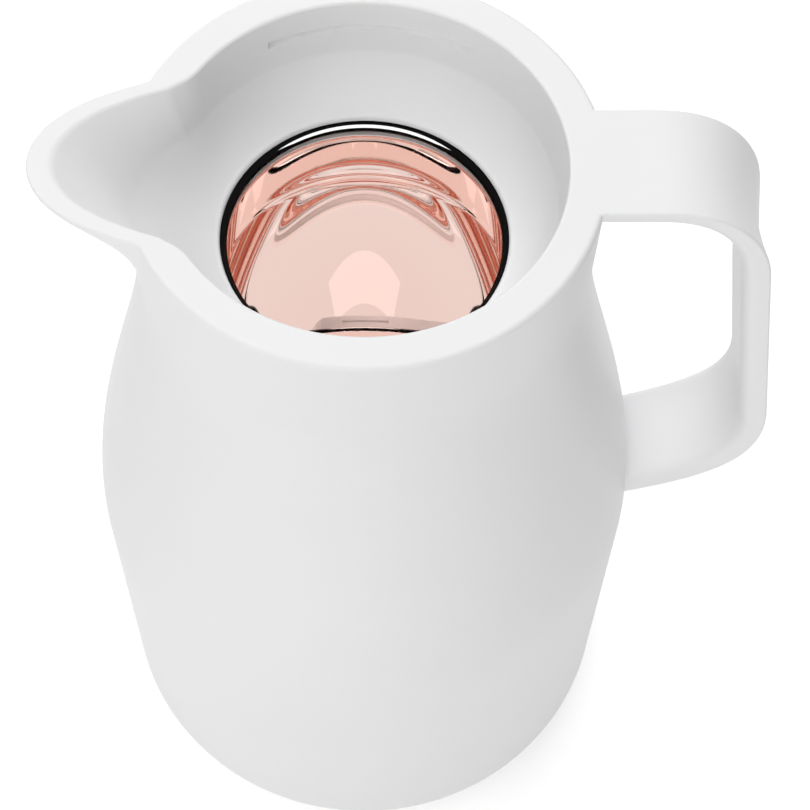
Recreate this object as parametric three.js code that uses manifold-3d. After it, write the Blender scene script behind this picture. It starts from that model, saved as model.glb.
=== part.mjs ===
import * as THREE from 'three';
import { mergeVertices } from 'three/addons/utils/BufferGeometryUtils.js';
import Module from 'manifold-3d';

// A thermal carafe: a white moulded jacket and pouring collar round a mirrored glass vacuum flask,
// with a strap handle and a screwed-in base that lets the flask be changed.
// Millimetres, +Z up. The origin is on the body's axis, on the surface that the carafe stands on.
// The handle points along +X and the spout along -X.

// Clearances and walls
const FIT = 0.3; // between pieces that touch
const PASS = 0.3; // round the flask's barrel where it passes through the base
const WALL = 2.5; // moulded wall of the jacket
const GLASS = 1.6; // wall of the flask
const VACUUM = 3.4; // gap between the flask's two walls

// Jacket
const BODY_HEIGHT = 216.6; // foot of the jacket to the top of the rim
const BELLY_RADIUS = 65;
const BELLY_HEIGHT = 90.4; // widest place, above the jacket's foot
const FLANK_TAPER = 1.4; // how much the radius shrinks from the belly to the base rounding
const BASE_LAND = 1.7; // flat ring left between the base opening and the base rounding
const NECK_RADIUS = 48.2; // where the jacket meets the collar
const NECK_SPREAD = 1.4; // how far the neck's curve handle leans outward
const NECK_EASE = 31.3; // length of the neck's curve handle
const BELLY_EASE = 33.8; // length of the belly's curve handle
const SOCKET_SPARE = 1.5; // bore above the base cover
const SPIGOT_LENGTH = 8.2; // jacket's neck inside the collar

// Pouring collar
const COLLAR_DEPTH = 28.7; // rim to the joint with the jacket
const RIM_RADIUS = 48.9;
const RIM_EDGE = 1.2; // rounding of the rim's outer edge
const RIM_WIDTH = 7.8; // flat top of the collar, edges included
const MOUTH_EDGE = 0.8; // rounding of the rim's inner edge
const SEAT_DRAFT = 1.1; // how much narrower the lid seat is at its lower end
const SEAT_DEPTH = 14; // rim to where the lid seat's wall turns into the funnel
const FUNNEL_DEPTH = 23.6; // rim to the throat's upper edge
const THROAT_RADIUS = 30.5;
const THROAT_LENGTH = 2.9;

// Spout
const SPOUT_REACH = 19.3; // beyond the rim, at the tip
const SPOUT_HALF_ANGLE = 25.3; // degrees to each side of -X
const SPOUT_ROUNDNESS = 1.23; // power of the outline's cosine
const SPOUT_DEPTH = 28; // rim to where the underside has run into the neck
const SPOUT_BROW = 1.64; // power that keeps the underside steep under the rim
const SPOUT_SWEEP = 5.4; // power that draws it in below
const SPOUT_BAND = 3.3; // width of the rim along the spout
const SPOUT_GATHER = 0.5; // how strongly the collar's facets gather at the spout
const CHANNEL_FLARE = 9.3; // degrees that the channel opens wider than the spout
const CHANNEL_ROUNDNESS = 2.31;
const CHANNEL_SWEEP = 1.3;

// Lid grooves in the seat
const GROOVE_DEPTH = 1.3;
const GROOVE_HEIGHT = 2.4;
const GROOVE_BELOW_RIM = 5.5;
const GROOVE_START = 57; // degrees from +X
const GROOVE_SWEEP = 63;
const GROOVE_COUNT = 2;

// Handle strap, as lengths from the axis and below the rim
const HANDLE_WIDTH = 26.2;
const HANDLE_EDGE = 1; // rounding of the strap's long edges
const HANDLE_TOP = 4.8; // thickness under the rim
const HANDLE_GRIP = 6; // thickness of the grip
const HANDLE_FOOT = 4.2; // thickness at the belly
const HANDLE_FLAT = 11; // level run from the rim to the upper bend
const HANDLE_REACH = 84; // outer face at the end of the upper bend
const HANDLE_BEND_HEIGHT = 23;
const HANDLE_GRIP_LENGTH = 55.5;
const HANDLE_GRIP_SHIFT = 8; // how far the grip moves outward on its way down
const HANDLE_DROP = 116.6; // rim to the underside of the handle's foot
const HANDLE_FOOT_ANGLE = 21.8; // degrees that the foot rises outward
const HANDLE_BEND_EASE = 13.5; // length of the upper bend's curve handles
const HANDLE_FOOT_EASE = 21; // length of the lower bend's curve handles
const TONGUE_WIDTH = 14;
const TONGUE_LENGTH = 4; // into the collar
const TONGUE_SHOULDER = 1.2; // strap left above and below the tongue

// Handle screws, through the jacket into pins on the handle's foot
const SCREW_SPACING = 14;
const SCREW_RADIUS = 0.8;
const SCREW_LENGTH = 9;
const SCREW_HEAD_RADIUS = 3.2;
const SCREW_HEAD_HEIGHT = 1.7;
const PIN_RADIUS = 1.9;
const PIN_ROOT = 5; // length of each pin inside the strap
const BOSS_RIM = 1.4; // boss left round the screw's head
const BOSS_LENGTH = 5; // boss inside the jacket's wall

// Glass flask
const FLASK_RADIUS = 45; // outer wall, just under the shoulder
const FLASK_TAPER = 1.4; // how much that shrinks down to the dome
const FLASK_BARREL = 1.3; // how far the wall bulges half way down
const LIP_RADIUS = 32.1;
const LIP_BEAD = 1.4; // radius of the rounded lip
const NECK_LENGTH = 6.8; // straight neck below the lip
const SHOULDER_HEIGHT = 22;
const SHOULDER_UPPER_EASE = 12.5; // lengths of the shoulder's two curve handles
const SHOULDER_LOWER_EASE = 7.9;
const INNER_DOME_DEPTH = 8.5; // rounded bottom that the drink stands on
const DOME_DEPTH = 26; // rounded bottom of the outer wall
const TIP_RADIUS = 3.2; // sealed-off pumping tip
const TIP_LENGTH = 9;
const TIP_ROOM = 16.9; // free space under the tip
const SPACER_WIDTH = 6;
const SPACER_HEIGHT = 9;
const SPACER_COUNT = 3;
const SPACER_RISE = 59; // above the start of the dome

// Mouth seal
const SEAL_WIDTH = 5;
const SEAL_HEIGHT = 2.6;
const SEAL_PROUD = 0.4; // how far it stands into the throat
const SEAL_BULGE = 0.6; // depth of its rounded inner face

// Base
const PAD_RADIUS = 38;
const PAD_THICKNESS = 1.2;
const PAD_PROUD = 0.8; // pad below the jacket's foot
const COVER_PLATE = 3;
const COVER_WALL = 3.6;
const COVER_HEIGHT = 11.5;
const RING_SECTION = 1.9; // base seal
const RING_BELOW_TOP = 5.3; // middle of the base seal below the cover's upper edge
const NOTCH_WIDTH = 12; // finger notches under the cover's edge
const NOTCH_DEPTH = 4;
const NOTCH_HEIGHT = 1.8;
const NOTCH_COUNT = 3;
const CUSHION_RADIUS = 31;
const CUSHION_GAP = 5.8; // cushion's hole round the tip

// Facets
const ROUND = 64; // jacket and collar
const TURNED = 28; // pieces inside
const SMALL = 12; // screws and pins
const CURVE = 8; // steps along a long curve
const BEND = 5; // steps along a short curve
const BEAD = 3; // steps along a small rounding
const EDGE = 2; // steps along the rounding of the strap's edges
const WELD = 1e-4; // corners nearer than this become one

// Places worked out from the sizes
const foot = PAD_PROUD;
const rim = foot + BODY_HEIGHT;
const neck = rim - COLLAR_DEPTH;
const belly = foot + BELLY_HEIGHT;
const bore = FLASK_RADIUS + FLASK_BARREL + PASS;
const landEdge = bore + BASE_LAND;
const baseRounding = BELLY_RADIUS - FLANK_TAPER - landEdge;
const spigotOuter = NECK_RADIUS - WALL - FIT;
const spigotInner = spigotOuter - WALL;
const mouth = RIM_RADIUS - RIM_WIDTH;
const seat = mouth - SEAT_DRAFT;
const ledge = rim - FUNNEL_DEPTH - THROAT_LENGTH;
const sealTop = ledge - FIT;
const sealInner = THROAT_RADIUS - SEAL_PROUD;
const sealOuter = sealInner + SEAL_WIDTH;
const lipTop = sealTop - SEAL_HEIGHT - FIT;
const lipInner = LIP_RADIUS - 2 * LIP_BEAD;
const lipUnder = lipTop - 2 * LIP_BEAD;
const flaskNeckInner = lipInner + GLASS + FIT;
const flaskNeckOuter = flaskNeckInner + GLASS;
const neckEnd = lipUnder - NECK_LENGTH;
const shoulderEnd = neckEnd - SHOULDER_HEIGHT;
const coverRadius = bore - FIT;
const coverRim = foot + COVER_HEIGHT;
const coverTop = foot + COVER_PLATE;
const ringMiddle = coverRim - RING_BELOW_TOP;
const flaskBottom = coverTop + TIP_ROOM + TIP_LENGTH;
const domeStart = flaskBottom + DOME_DEPTH;

const wasm = await Module();
wasm.setup();

const point = (r, z) => new THREE.Vector2(r, z);
const closed = (points) => [...points, points[0].clone()];
const radians = THREE.MathUtils.degToRad;
const geometryAxis = new THREE.Vector3(0, 1, 0); // axis of a cylinder geometry

// Points along an arc of a circle or an ellipse
function arc(middle, radius, height, from, to, steps) {
  return new THREE.EllipseCurve(middle.x, middle.y, radius, height, from, to, from > to).getPoints(steps);
}

// Points along a curve that leaves one point and reaches another with the given handles
function bezier(start, startHandle, endHandle, end, steps) {
  return new THREE.CubicBezierCurve(start, startHandle, endHandle, end).getPoints(steps);
}

// Points along a straight line, both ends included
function line(start, end, steps) {
  return new THREE.LineCurve(start, end).getPoints(steps);
}

// A solid of revolution about Z from a profile of radius and height
function turned(profile, segments) {
  const outward = THREE.ShapeUtils.area(profile) > 0 ? profile : profile.slice().reverse();
  return new THREE.LatheGeometry(outward, segments).rotateX(Math.PI / 2);
}

// A flat outline of X and Z, given thickness along Y about the middle plane
function plate(shape, width, edge) {
  const geometry = new THREE.ExtrudeGeometry(shape, {
    depth: width - 2 * edge,
    steps: 1,
    curveSegments: CURVE,
    bevelEnabled: edge > 0,
    bevelThickness: edge,
    bevelSize: edge,
    bevelOffset: -edge,
    bevelSegments: EDGE,
  });
  return geometry.translate(0, 0, edge - width / 2).rotateX(Math.PI / 2);
}

// A round bar from one point to another
function bar(radius, from, to) {
  const along = new THREE.Vector3().subVectors(to, from);
  const geometry = new THREE.CylinderGeometry(radius, radius, along.length(), SMALL);
  const turn = new THREE.Quaternion().setFromUnitVectors(geometryAxis, along.clone().normalize());
  const middle = new THREE.Vector3().addVectors(from, to).multiplyScalar(0.5);
  return geometry.applyQuaternion(turn).translate(middle.x, middle.y, middle.z);
}

// A block with its corners at two points
function block(low, high) {
  const size = new THREE.Vector3().subVectors(high, low);
  const middle = new THREE.Vector3().addVectors(low, high).multiplyScalar(0.5);
  return new THREE.BoxGeometry(size.x, size.y, size.z).translate(middle.x, middle.y, middle.z);
}

// A closed geometry as a solid that can be joined and cut
function solid(geometry) {
  const bare = new THREE.BufferGeometry();
  bare.setAttribute('position', geometry.getAttribute('position').clone());
  bare.setIndex(geometry.index ? geometry.index.clone() : null);
  const welded = mergeVertices(bare, WELD);
  const corners = welded.index.array;
  const kept = [];
  for (let i = 0; i < corners.length; i += 3) {
    const [a, b, c] = corners.slice(i, i + 3);
    if (a !== b && b !== c && c !== a) {
      kept.push(a, b, c);
    }
  }
  const vertProperties = new Float32Array(welded.getAttribute('position').array);
  return new wasm.Manifold(new wasm.Mesh({ numProp: 3, vertProperties, triVerts: new Uint32Array(kept) }));
}

// A solid as a geometry
function shaped(body) {
  const mesh = body.getMesh();
  const geometry = new THREE.BufferGeometry();
  geometry.setAttribute('position', new THREE.BufferAttribute(mesh.vertProperties, 3));
  geometry.setIndex(new THREE.BufferAttribute(mesh.triVerts, 1));
  geometry.computeVertexNormals();
  return geometry;
}

// A named piece in its own material
function piece(name, geometry, finish) {
  const mesh = new THREE.Mesh(geometry, new THREE.MeshStandardMaterial(finish));
  mesh.name = name;
  return mesh;
}

const WHITE_PLASTIC = { color: 0xf0f0f0, roughness: 0.45, metalness: 0 };
const ROSE_MIRROR = { color: 0xedb9a9, roughness: 0.04, metalness: 1 };
const SILVER_GLASS = { color: 0xd8dadc, roughness: 0.08, metalness: 0.9 };
const BLACK_SILICONE = { color: 0x101010, roughness: 0.15, metalness: 0 };
const GREY_RUBBER = { color: 0x6a6c6e, roughness: 0.85, metalness: 0 };
const STEEL = { color: 0xb8babd, roughness: 0.35, metalness: 1 };
const FELT = { color: 0xc9c2b4, roughness: 0.95, metalness: 0 };

// One face of the jacket's flank and neck, from the base rounding up, at a distance inside its outside
function jacketFlank(inset, steps) {
  const belt = point(BELLY_RADIUS - inset, belly);
  const upper = bezier(
    belt,
    point(belt.x, belly + BELLY_EASE),
    point(NECK_RADIUS + NECK_SPREAD - inset, neck - NECK_EASE),
    point(NECK_RADIUS - inset, neck),
    steps,
  );
  return [point(BELLY_RADIUS - FLANK_TAPER - inset, foot + baseRounding), ...upper];
}

// The jacket's outside from its foot to the joint with the collar
function jacketSkin() {
  const middle = point(landEdge, foot + baseRounding);
  const rounding = arc(middle, baseRounding, baseRounding, -Math.PI / 2, 0, BEND);
  return [...rounding.slice(0, -1), ...jacketFlank(0, CURVE)];
}

// The collar's outside from that joint to the start of the rim's rounding, without the spout
function collarSkin() {
  return line(point(NECK_RADIUS, neck + FIT), point(RIM_RADIUS, rim - RIM_EDGE), BEND);
}

// Radius of the jacket's outside at a height
function skinRadius(height) {
  const skin = jacketSkin();
  const above = skin.findIndex((corner) => corner.y >= height);
  const low = skin[above - 1];
  const high = skin[above];
  return THREE.MathUtils.mapLinear(height, low.y, high.y, low.x, high.x);
}

// Where the handle's foot meets the jacket, and the direction that its fasteners take
const footMiddle = rim - HANDLE_DROP + HANDLE_FOOT / 2;
const footRise = radians(HANDLE_FOOT_ANGLE);
const footDirection = new THREE.Vector3(Math.cos(footRise), 0, Math.sin(footRise));

function footAnchor(side) {
  const y = (side * SCREW_SPACING) / 2;
  const x = Math.sqrt(skinRadius(footMiddle) ** 2 - y ** 2);
  return new THREE.Vector3(x, y, footMiddle);
}

// A point on a fastener's line: distance outward from the jacket's outside
function alongFoot(side, distance) {
  return footAnchor(side).addScaledVector(footDirection, distance);
}

const bossFace = -(WALL + BOSS_LENGTH);

function outerJacket() {
  const inside = jacketFlank(WALL, BEND).slice(1, -1);
  const socketOuter = bore + WALL;
  const socketTop = coverRim + SOCKET_SPARE;
  const floorMiddle = point(landEdge, foot + baseRounding);
  const floorRadius = baseRounding - WALL;
  const floorEnd = Math.acos(THREE.MathUtils.clamp((socketOuter - landEdge) / floorRadius, 0, 1));
  const profile = closed([
    point(bore, foot),
    ...jacketSkin(),
    point(spigotOuter, neck),
    point(spigotOuter, neck + SPIGOT_LENGTH),
    point(spigotInner, neck + SPIGOT_LENGTH),
    point(spigotInner, neck),
    ...inside.reverse(),
    ...arc(floorMiddle, floorRadius, floorRadius, 0, -floorEnd, BEAD),
    point(socketOuter, socketTop),
    point(bore, socketTop),
  ]);
  let body = solid(turned(profile, ROUND));
  for (const side of [-1, 1]) {
    const boss = bar(SCREW_HEAD_RADIUS + BOSS_RIM, alongFoot(side, bossFace), alongFoot(side, -WALL / 2));
    body = body.add(solid(boss));
  }
  for (const side of [-1, 1]) {
    const hole = bar(PIN_RADIUS + FIT, alongFoot(side, bossFace - FIT), alongFoot(side, PIN_ROOT));
    body = body.subtract(solid(hole));
  }
  return shaped(body);
}

// Reach of an outline at an angle from the spout's middle, as a power of a cosine
function spoutReach(angle, reach, halfAngle, roundness) {
  const share = Math.min(angle / radians(halfAngle), 1);
  return reach * Math.cos((share * Math.PI) / 2) ** roundness;
}

// Pull of the spout on the collar's outside, at an angle from its middle and a depth below the rim
function lipPull(angle, depth) {
  const sweep = Math.max(0, 1 - (depth / SPOUT_DEPTH) ** SPOUT_BROW) ** SPOUT_SWEEP;
  return spoutReach(angle, SPOUT_REACH, SPOUT_HALF_ANGLE, SPOUT_ROUNDNESS) * sweep;
}

// Pull of the spout on the lid seat, which makes the pouring channel and leaves the band along the lip
function channelPull(angle, depth) {
  const spare = RIM_WIDTH - RIM_EDGE - MOUTH_EDGE - SPOUT_BAND;
  const halfAngle = SPOUT_HALF_ANGLE + CHANNEL_FLARE;
  const channel = spoutReach(angle, SPOUT_REACH + spare, halfAngle, CHANNEL_ROUNDNESS);
  const sweep = Math.max(0, 1 - depth / FUNNEL_DEPTH) ** CHANNEL_SWEEP;
  return Math.min(channel, lipPull(angle, 0) + spare) * sweep;
}

// Draws a round body out towards the spout, with its facets gathered there
function drawn(geometry, pull) {
  const position = geometry.getAttribute('position');
  for (let i = 0; i < position.count; i += 1) {
    const radius = Math.hypot(position.getX(i), position.getY(i));
    if (radius > FIT) {
      const even = Math.atan2(position.getY(i), -position.getX(i));
      const angle = even - SPOUT_GATHER * Math.sin(even);
      const reach = radius + pull(Math.abs(angle), Math.max(0, rim - position.getZ(i)));
      position.setXY(i, -reach * Math.cos(angle), reach * Math.sin(angle));
    }
  }
  return geometry;
}

// A groove for the lid's lugs, cut into the seat's wall
function lidGroove(number) {
  const from = radians(GROOVE_START) + (number * 2 * Math.PI) / GROOVE_COUNT;
  const to = from + radians(GROOVE_SWEEP);
  const shape = new THREE.Shape();
  shape.absarc(0, 0, mouth + GROOVE_DEPTH, from, to, false);
  shape.absarc(0, 0, seat - GROOVE_DEPTH, to, from, true);
  const geometry = new THREE.ExtrudeGeometry(shape, {
    depth: GROOVE_HEIGHT,
    steps: 1,
    curveSegments: CURVE,
    bevelEnabled: false,
  });
  return geometry.translate(0, 0, rim - GROOVE_BELOW_RIM - GROOVE_HEIGHT);
}

// The handle's tongue, or with clearance the pocket that it sits in
function tongue(clearance) {
  const half = TONGUE_WIDTH / 2 + clearance;
  const low = new THREE.Vector3(
    RIM_RADIUS - TONGUE_LENGTH - clearance,
    -half,
    rim - HANDLE_TOP + TONGUE_SHOULDER - clearance,
  );
  const high = new THREE.Vector3(RIM_RADIUS + TONGUE_LENGTH, half, rim - TONGUE_SHOULDER + clearance);
  return block(low, high);
}

// Lid seat, funnel and throat, as the space that they leave
function funnelSpace() {
  const above = rim + FIT;
  const seatEnd = point(seat, rim - SEAT_DEPTH);
  const throatEdge = point(THROAT_RADIUS, rim - FUNNEL_DEPTH);
  const funnel = new THREE.QuadraticBezierCurve(throatEdge, point(seat, throatEdge.y), seatEnd);
  const mouthMiddle = point(mouth + MOUTH_EDGE, rim - MOUTH_EDGE);
  const profile = [
    point(0, ledge - FIT),
    point(THROAT_RADIUS, ledge - FIT),
    ...funnel.getPoints(BEND),
    ...line(seatEnd, point(mouth, mouthMiddle.y), BEND).slice(1, -1),
    ...arc(mouthMiddle, MOUTH_EDGE, MOUTH_EDGE, Math.PI, Math.PI / 2, BEAD),
    point(mouthMiddle.x, above),
    point(0, above),
  ];
  return drawn(turned(profile, ROUND), channelPull);
}

function pouringCollar() {
  const rimMiddle = point(RIM_RADIUS - RIM_EDGE, rim - RIM_EDGE);
  const skirtTop = neck + SPIGOT_LENGTH + FIT;
  const hubRadius = spigotInner - FIT;
  const blank = [
    point(0, neck + FIT),
    ...collarSkin().slice(0, -1),
    ...arc(rimMiddle, RIM_EDGE, RIM_EDGE, 0, Math.PI / 2, BEAD),
    point(0, rim),
  ];
  const socket = [
    point(0, neck),
    point(spigotOuter + FIT, neck),
    point(spigotOuter + FIT, skirtTop),
    point(0, skirtTop),
  ];
  const hub = [
    point(0, ledge),
    point(sealOuter, ledge),
    point(hubRadius, skirtTop),
    point(hubRadius, skirtTop + WALL),
    point(0, skirtTop + WALL),
  ];
  let body = solid(drawn(turned(blank, ROUND), lipPull));
  body = body.subtract(solid(turned(socket, ROUND))).add(solid(turned(hub, ROUND)));
  body = body.subtract(solid(funnelSpace()));
  for (let number = 0; number < GROOVE_COUNT; number += 1) {
    body = body.subtract(solid(lidGroove(number)));
  }
  return shaped(body.subtract(solid(tongue(FIT))));
}

// Side view of the strap: its outer line and, a thickness away, its inner one, both ends run into the body
function handleOutline() {
  const inward = WALL + FIT;
  const footSlope = point(footDirection.x, footDirection.z);
  const start = point(RIM_RADIUS - inward, rim);
  const flatEnd = point(RIM_RADIUS + HANDLE_FLAT, rim);
  const bendEnd = point(HANDLE_REACH, rim - HANDLE_BEND_HEIGHT);
  const gripEnd = point(HANDLE_REACH + HANDLE_GRIP_SHIFT, bendEnd.y - HANDLE_GRIP_LENGTH);
  const footEnd = point(skinRadius(footMiddle), rim - HANDLE_DROP);
  const down = gripEnd.clone().sub(bendEnd).normalize();
  const flatHandle = point(flatEnd.x + HANDLE_BEND_EASE, rim);
  const bendHandle = bendEnd.clone().addScaledVector(down, -HANDLE_BEND_EASE);
  const gripHandle = gripEnd.clone().addScaledVector(down, HANDLE_FOOT_EASE);
  const footHandle = footEnd.clone().addScaledVector(footSlope, HANDLE_FOOT_EASE);
  const end = footEnd.clone().addScaledVector(footSlope, -inward);
  const runs = [
    { curve: new THREE.LineCurve(start, flatEnd), steps: 1, from: HANDLE_TOP, to: HANDLE_TOP },
    {
      curve: new THREE.CubicBezierCurve(flatEnd, flatHandle, bendHandle, bendEnd),
      steps: CURVE,
      from: HANDLE_TOP,
      to: HANDLE_GRIP,
    },
    {
      curve: new THREE.CubicBezierCurve(gripEnd, gripHandle, footHandle, footEnd),
      steps: CURVE,
      from: HANDLE_GRIP,
      to: HANDLE_FOOT,
    },
    { curve: new THREE.LineCurve(footEnd, end), steps: 1, from: HANDLE_FOOT, to: HANDLE_FOOT },
  ];
  const outer = [];
  const inner = [];
  for (const { curve, steps, from, to } of runs) {
    for (let step = 0; step <= steps; step += 1) {
      const share = step / steps;
      const along = curve.getTangent(share);
      const thickness = THREE.MathUtils.lerp(from, to, share);
      const place = curve.getPoint(share);
      outer.push(place);
      inner.push(point(place.x + along.y * thickness, place.y - along.x * thickness));
    }
  }
  return new THREE.Shape([...outer, ...inner.reverse()]);
}

function handleStrap() {
  const above = rim + FIT + HANDLE_TOP;
  const skin = [...jacketSkin(), ...collarSkin()].map((corner) => point(corner.x + FIT, corner.y));
  const room = [point(0, foot), ...skin, point(RIM_RADIUS + FIT, above), point(0, above)];
  let body = solid(plate(handleOutline(), HANDLE_WIDTH, HANDLE_EDGE));
  body = body.subtract(solid(turned(room, ROUND))).add(solid(tongue(0)));
  for (const side of [-1, 1]) {
    body = body.add(solid(bar(PIN_RADIUS, alongFoot(side, bossFace + FIT), alongFoot(side, PIN_ROOT))));
  }
  for (const side of [-1, 1]) {
    const from = alongFoot(side, bossFace);
    const to = alongFoot(side, bossFace + SCREW_LENGTH + FIT);
    body = body.subtract(solid(bar(SCREW_RADIUS + FIT, from, to)));
  }
  return shaped(body);
}

function handleScrew(side) {
  const under = bossFace - FIT;
  const top = alongFoot(side, under - SCREW_HEAD_HEIGHT);
  const head = bar(SCREW_HEAD_RADIUS, top, alongFoot(side, under));
  const shank = bar(SCREW_RADIUS, top, alongFoot(side, bossFace + SCREW_LENGTH));
  return shaped(solid(head).add(solid(shank)));
}

// Radius of the flask's outside at a height between its shoulder and its dome, bulged as a parabola
function flaskRadius(height) {
  const share = THREE.MathUtils.mapLinear(height, shoulderEnd, domeStart, 0, 1);
  return FLASK_RADIUS - FLASK_TAPER * share + 4 * FLASK_BARREL * share * (1 - share);
}

// One face of a flask wall, from its neck to the middle of its dome, at a distance inside the flask's outside
function flaskFace(neckRadius, inset, domeDepth) {
  const radius = FLASK_RADIUS - inset;
  const shoulder = bezier(
    point(neckRadius, neckEnd),
    point(neckRadius, neckEnd - SHOULDER_UPPER_EASE),
    point(radius, shoulderEnd + SHOULDER_LOWER_EASE),
    point(radius, shoulderEnd),
    BEND,
  );
  const heights = line(point(0, shoulderEnd), point(0, domeStart), BEND).map((place) => place.y);
  const barrel = heights.slice(1, -1).map((height) => point(flaskRadius(height) - inset, height));
  const dome = arc(point(0, domeStart), flaskRadius(domeStart) - inset, domeDepth, 0, -Math.PI / 2, BEND);
  dome[BEND].x = 0;
  return [...shoulder, ...barrel, ...dome];
}

// The inner wall ends in the rounded lip, which covers the outer wall's neck
function flaskInnerWall() {
  const lipMiddle = point(LIP_RADIUS - LIP_BEAD, lipTop - LIP_BEAD);
  const inset = GLASS + VACUUM;
  const profile = [
    ...flaskFace(lipInner + GLASS, inset, INNER_DOME_DEPTH + GLASS).reverse(),
    point(lipInner + GLASS, lipUnder),
    ...arc(lipMiddle, LIP_BEAD, LIP_BEAD, -Math.PI / 3, Math.PI, BEND),
    ...flaskFace(lipInner, inset + GLASS, INNER_DOME_DEPTH),
  ];
  return turned(profile, TURNED);
}

function flaskOuterWall() {
  const outside = flaskFace(flaskNeckOuter, 0, DOME_DEPTH).reverse();
  const inside = flaskFace(flaskNeckInner, GLASS, DOME_DEPTH - GLASS);
  const top = lipUnder - FIT;
  const profile = [...outside, point(flaskNeckOuter, top), point(flaskNeckInner, top), ...inside];
  const tipEnd = flaskBottom - TIP_LENGTH;
  const tip = [
    point(0, tipEnd),
    point(TIP_RADIUS / 2, tipEnd),
    point(TIP_RADIUS, tipEnd + TIP_RADIUS),
    point(TIP_RADIUS, flaskBottom + GLASS / 2),
    point(0, flaskBottom + GLASS / 2),
  ];
  return shaped(solid(turned(profile, TURNED)).add(solid(turned(tip, SMALL))));
}

function wallSpacer(number) {
  const floor = domeStart + SPACER_RISE;
  const wall = flaskRadius(floor + SPACER_HEIGHT / 2) - GLASS;
  const facet = wall * Math.cos(Math.PI / TURNED); // least radius of the faceted wall
  const outer = Math.sqrt((facet - FIT) ** 2 - (SPACER_WIDTH / 2) ** 2);
  const low = new THREE.Vector3(wall - VACUUM + FIT, -SPACER_WIDTH / 2, floor);
  const high = new THREE.Vector3(outer, SPACER_WIDTH / 2, floor + SPACER_HEIGHT);
  return block(low, high).rotateZ((number * 2 * Math.PI) / SPACER_COUNT + Math.PI / SPACER_COUNT);
}

// Silicone ring between the collar's ledge and the flask's lip, rounded where it shows in the mouth
function mouthSeal() {
  const half = SEAL_HEIGHT / 2;
  const middle = point(sealInner + SEAL_BULGE, sealTop - half);
  const bulge = arc(middle, SEAL_BULGE, half, Math.PI / 2, (3 * Math.PI) / 2, BEND);
  const profile = closed([point(sealOuter, sealTop - SEAL_HEIGHT), point(sealOuter, sealTop), ...bulge]);
  return turned(profile, TURNED);
}

// Rubber cup on the base cover that carries the flask's rounded bottom clear of its tip
function supportCushion() {
  const floor = coverTop + FIT;
  const hole = TIP_RADIUS + CUSHION_GAP;
  const dome = flaskRadius(domeStart);
  const from = -Math.acos(CUSHION_RADIUS / dome);
  const to = -Math.acos(hole / dome);
  const cup = arc(point(0, domeStart - 2 * FIT), dome, DOME_DEPTH, from, to, BEND);
  return turned(closed([point(hole, floor), point(CUSHION_RADIUS, floor), ...cup]), TURNED);
}

// Screwed-in base with a groove for its seal, a recess for the pad and finger notches under its edge
function baseCover() {
  const groove = RING_SECTION / 2 + FIT;
  const grooveFloor = coverRadius - RING_SECTION - FIT;
  const recess = PAD_THICKNESS + FIT;
  const profile = [
    point(0, recess),
    point(PAD_RADIUS + FIT, recess),
    point(PAD_RADIUS + FIT, foot),
    point(coverRadius, foot),
    point(coverRadius, ringMiddle - groove),
    point(grooveFloor, ringMiddle - groove),
    point(grooveFloor, ringMiddle + groove),
    point(coverRadius, ringMiddle + groove),
    point(coverRadius, coverRim),
    point(coverRadius - COVER_WALL, coverRim),
    point(coverRadius - COVER_WALL, coverTop),
    point(0, coverTop),
  ];
  let body = solid(turned(profile, TURNED));
  for (let number = 0; number < NOTCH_COUNT; number += 1) {
    const low = new THREE.Vector3(coverRadius - NOTCH_DEPTH, -NOTCH_WIDTH / 2, foot - FIT);
    const high = new THREE.Vector3(coverRadius + NOTCH_DEPTH, NOTCH_WIDTH / 2, foot + NOTCH_HEIGHT);
    const notch = block(low, high).rotateZ((number * 2 * Math.PI) / NOTCH_COUNT + Math.PI / 2);
    body = body.subtract(solid(notch));
  }
  return shaped(body);
}

function baseSeal() {
  const middle = point(coverRadius - RING_SECTION / 2, ringMiddle);
  const ring = arc(middle, RING_SECTION / 2, RING_SECTION / 2, 0, 2 * Math.PI, CURVE);
  return turned(closed(ring.slice(0, -1)), TURNED);
}

function basePad() {
  const profile = [
    point(0, 0),
    point(PAD_RADIUS - PAD_THICKNESS / 2, 0),
    point(PAD_RADIUS, PAD_THICKNESS / 2),
    point(PAD_RADIUS, PAD_THICKNESS),
    point(0, PAD_THICKNESS),
  ];
  return turned(profile, TURNED);
}

const shell = new THREE.Group();
shell.add(piece('outer_jacket', outerJacket(), WHITE_PLASTIC));
shell.add(piece('pouring_collar', pouringCollar(), WHITE_PLASTIC));
shell.add(piece('handle_strap', handleStrap(), WHITE_PLASTIC));
shell.add(piece('handle_screw_front', handleScrew(-1), STEEL));
shell.add(piece('handle_screw_back', handleScrew(1), STEEL));

const flask = new THREE.Group();
flask.add(piece('flask_inner_wall', flaskInnerWall(), ROSE_MIRROR));
flask.add(piece('flask_outer_wall', flaskOuterWall(), SILVER_GLASS));
flask.add(piece('mouth_seal', mouthSeal(), BLACK_SILICONE));
for (let number = 0; number < SPACER_COUNT; number += 1) {
  flask.add(piece(`wall_spacer_${number + 1}`, wallSpacer(number), FELT));
}

const base = new THREE.Group();
base.add(piece('support_cushion', supportCushion(), GREY_RUBBER));
base.add(piece('base_cover', baseCover(), WHITE_PLASTIC));
base.add(piece('base_seal', baseSeal(), GREY_RUBBER));
base.add(piece('base_pad', basePad(), GREY_RUBBER));

const carafe = new THREE.Group();
carafe.add(shell, flask, base);

export default carafe;
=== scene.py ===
"""A thermal carafe: a white moulded shell with a strap handle round a rose-mirrored glass vacuum flask.

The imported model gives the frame: +Z up, the handle along +X, the spout along -X, the origin on the
surface that the carafe stands on. Sizes in the classes are millimetres and meshes are in metres.
"""

import logging
import math
from dataclasses import dataclass
from enum import Enum
from typing import Any, Sequence

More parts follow.
